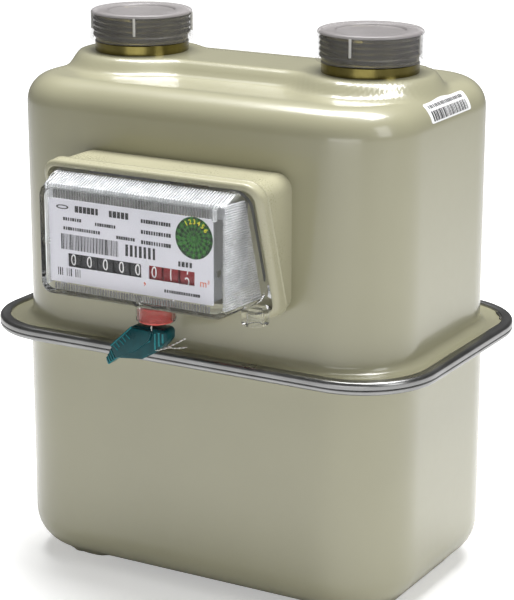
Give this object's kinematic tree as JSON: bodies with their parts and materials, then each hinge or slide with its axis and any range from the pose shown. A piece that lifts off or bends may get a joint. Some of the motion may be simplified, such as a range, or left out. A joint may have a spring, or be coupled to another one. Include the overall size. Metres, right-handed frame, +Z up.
{
  "type": "diaphragm gas meter",
  "caption": "Domestic diaphragm gas meter with a clamped two-part steel casing, two capped top connectors and a windowed number-wheel index.",
  "frame": {"origin": "middle of the casing's plan, on the surface that the stamped base stands on", "axes": "+X to the right seen from the index side, +Y to the back, +Z up"},
  "size_m": [0.206, 0.1665, 0.2386],
  "materials": {
    "enamel": "semi-gloss baked enamel with a fine orange peel",
    "band_steel": "rolled galvanised steel, satin",
    "connector_brass": "yellow-passivated turned thread",
    "bush_brass": "turned",
    "milky_plastic": "milky translucent polyethylene",
    "beige_plastic": "glossy moulded plastic",
    "clear_plastic": "clear moulded polycarbonate",
    "plate_white": "printed white plate",
    "wheel_black": "black moulded number wheel",
    "wheel_red": "red moulded number wheel",
    "grey_plastic": "grey engineering plastic",
    "ivory_plastic": "natural acetal",
    "bright_steel": "bright drawn steel",
    "black_rubber": "nitrile rubber",
    "green_foil": "green foil sticker with a fine hatch",
    "label_paper": "white self-adhesive label",
    "coral_plastic": "coral moulded plug",
    "teal_plastic": "translucent teal plastic",
    "wire_steel": "twisted steel seal wire",
    "diaphragm_cloth": "rubber-coated cloth"
  },
  "bodies": {
    "meter": {"lower_casing": "enamel", "upper_casing": "enamel", "casing_gasket": "black_rubber", "clamp_band": "band_steel", "inlet_connector": "connector_brass", "outlet_connector": "connector_brass", "index_housing": "beige_plastic", "index_window": "clear_plastic", "faceplate": "plate_white", "index_frame": "grey_plastic", "wheel_axle": "bright_steel", "pinion_axle": "bright_steel", "gland_bush": "bush_brass", "index_screws": "bright_steel", "verification_sticker": "green_foil", "bar_label": "label_paper", "seal_plug": "coral_plastic", "crank_bracket": "grey_plastic", "valve_table": "grey_plastic", "measuring_body": "grey_plastic", "front_cover": "grey_plastic", "rear_cover": "grey_plastic", "front_diaphragm": "diaphragm_cloth", "rear_diaphragm": "diaphragm_cloth", "flag_bushes": "ivory_plastic", "outlet_tube": "grey_plastic", "outlet_seal": "black_rubber", "hanger_straps": "bright_steel", "chamber_screws": "bright_steel"},
    "inlet_cap": {"inlet_cap": "milky_plastic"},
    "outlet_cap": {"outlet_cap": "milky_plastic"},
    "wire_seal": {"seal_body": "teal_plastic", "seal_insert": "teal_plastic", "seal_wire": "wire_steel"},
    "crank": {"crankshaft": "bright_steel", "worm": "ivory_plastic", "rotary_valve": "ivory_plastic"},
    "drive": {"drive_shaft": "bright_steel", "worm_wheel": "ivory_plastic", "drive_bevel": "ivory_plastic"},
    "lay": {"lay_shaft": "bright_steel", "lay_gear": "ivory_plastic", "lay_bevel": "ivory_plastic"},
    "pinions": {"transfer_pinions": "ivory_plastic"},
    "front_flag": {"front_flag": "bright_steel"},
    "rear_flag": {"rear_flag": "bright_steel"},
    "front_disc": {"front_disc": "grey_plastic"},
    "rear_disc": {"rear_disc": "grey_plastic"},
    "front_rod": {"front_rod": "ivory_plastic"},
    "rear_rod": {"rear_rod": "ivory_plastic"},
    "wheel_8": {"number_wheel_8": "wheel_red", "index_gear": "ivory_plastic", "pulse_magnet": "bright_steel"},
    "wheel_1": {"number_wheel_1": "wheel_black"},
    "wheel_2": {"number_wheel_2": "wheel_black"},
    "wheel_3": {"number_wheel_3": "wheel_black"},
    "wheel_4": {"number_wheel_4": "wheel_black"},
    "wheel_5": {"number_wheel_5": "wheel_black"},
    "wheel_6": {"number_wheel_6": "wheel_red"},
    "wheel_7": {"number_wheel_7": "wheel_red"}
  },
  "joints": [
    {"name": "inlet_cap_pull", "type": "slide", "parent": "meter", "child": "inlet_cap", "axis": [0, 0, 1], "range_m": [0, 0.03]},
    {"name": "outlet_cap_pull", "type": "slide", "parent": "meter", "child": "outlet_cap", "axis": [0, 0, 1], "range_m": [0, 0.03]},
    {"name": "wire_seal_swing", "type": "hinge", "parent": "meter", "child": "wire_seal", "pos_m": [0.004, -0.088, 0.12875], "axis": [0, 1, 0], "range_deg": [-8, 8]},
    {"name": "crank_turn", "type": "hinge", "parent": "meter", "child": "crank", "pos_m": [-0.012, -0.029, 0.14], "axis": [0, 0, 1], "continuous": true},
    {"name": "drive_turn", "type": "hinge", "parent": "meter", "child": "drive", "pos_m": [0.0033, -0.029, 0.16211], "axis": [0, -1, 0], "continuous": true},
    {"name": "lay_turn", "type": "hinge", "parent": "meter", "child": "lay", "pos_m": [0.01, -0.07031, 0.16211], "axis": [1, 0, 0], "continuous": true},
    {"name": "pinion_turn", "type": "hinge", "parent": "meter", "child": "pinions", "pos_m": [0, -0.07243, 0.14377], "axis": [1, 0, 0], "continuous": true},
    {"name": "wheel_8_turn", "type": "hinge", "parent": "meter", "child": "wheel_8", "pos_m": [0, -0.0822, 0.1514], "axis": [-1, 0, 0], "continuous": true},
    {"name": "wheel_7_turn", "type": "hinge", "parent": "meter", "child": "wheel_7", "pos_m": [0, -0.0822, 0.1514], "axis": [-1, 0, 0], "continuous": true},
    {"name": "wheel_6_turn", "type": "hinge", "parent": "meter", "child": "wheel_6", "pos_m": [0, -0.0822, 0.1514], "axis": [-1, 0, 0], "continuous": true},
    {"name": "wheel_5_turn", "type": "hinge", "parent": "meter", "child": "wheel_5", "pos_m": [0, -0.0822, 0.1514], "axis": [-1, 0, 0], "continuous": true},
    {"name": "wheel_4_turn", "type": "hinge", "parent": "meter", "child": "wheel_4", "pos_m": [0, -0.0822, 0.1514], "axis": [-1, 0, 0], "continuous": true},
    {"name": "wheel_3_turn", "type": "hinge", "parent": "meter", "child": "wheel_3", "pos_m": [0, -0.0822, 0.1514], "axis": [-1, 0, 0], "continuous": true},
    {"name": "wheel_2_turn", "type": "hinge", "parent": "meter", "child": "wheel_2", "pos_m": [0, -0.0822, 0.1514], "axis": [-1, 0, 0], "continuous": true},
    {"name": "wheel_1_turn", "type": "hinge", "parent": "meter", "child": "wheel_1", "pos_m": [0, -0.0822, 0.1514], "axis": [-1, 0, 0], "continuous": true},
    {"name": "front_flag_swing", "type": "hinge", "parent": "meter", "child": "front_flag", "pos_m": [-0.048, -0.007, 0.1], "axis": [0, 0, 1], "range_deg": [-32, 0]},
    {"name": "rear_flag_swing", "type": "hinge", "parent": "meter", "child": "rear_flag", "pos_m": [-0.048, 0.007, 0.1], "axis": [0, 0, 1], "range_deg": [-18, 13.5]},
    {"name": "front_disc_pin", "type": "hinge", "parent": "front_flag", "child": "front_disc", "pos_m": [0.002, -0.007, 0.07], "axis": [0, 0, 1], "range_deg": [0, 32]},
    {"name": "rear_disc_pin", "type": "hinge", "parent": "rear_flag", "child": "rear_disc", "pos_m": [0.00006, 0.02078, 0.07], "axis": [0, 0, 1], "range_deg": [-13.5, 18]},
    {"name": "front_rod_pin", "type": "hinge", "parent": "front_flag", "child": "front_rod", "pos_m": [-0.0134, 0.00292, 0.18], "axis": [0, 0, 1], "range_deg": [-25, 32]},
    {"name": "rear_rod_pin", "type": "hinge", "parent": "rear_flag", "child": "rear_rod", "pos_m": [-0.048, -0.029, 0.182], "axis": [0, 0, 1], "range_deg": [-35, 15]}
  ],
  "couplings": [
    {"joint": "drive_turn", "follows": "crank_turn", "ratio": 0.12},
    {"joint": "lay_turn", "follows": "crank_turn", "ratio": 0.12},
    {"joint": "pinion_turn", "follows": "crank_turn", "ratio": 0.03},
    {"joint": "wheel_8_turn", "follows": "crank_turn", "ratio": 0.12},
    {"joint": "wheel_7_turn", "follows": "crank_turn", "ratio": 0.012},
    {"joint": "wheel_6_turn", "follows": "crank_turn", "ratio": 0.0012},
    {"joint": "wheel_5_turn", "follows": "crank_turn", "ratio": 0.00012},
    {"joint": "wheel_4_turn", "follows": "crank_turn", "ratio": 0.000012},
    {"joint": "wheel_3_turn", "follows": "crank_turn", "ratio": 0.0000012},
    {"joint": "wheel_2_turn", "follows": "crank_turn", "ratio": 0.00000012},
    {"joint": "wheel_1_turn", "follows": "crank_turn", "ratio": 0.000000012},
    {"joint": "front_disc_pin", "follows": "front_flag_swing", "ratio": -1},
    {"joint": "rear_disc_pin", "follows": "rear_flag_swing", "ratio": -1}
  ]
}
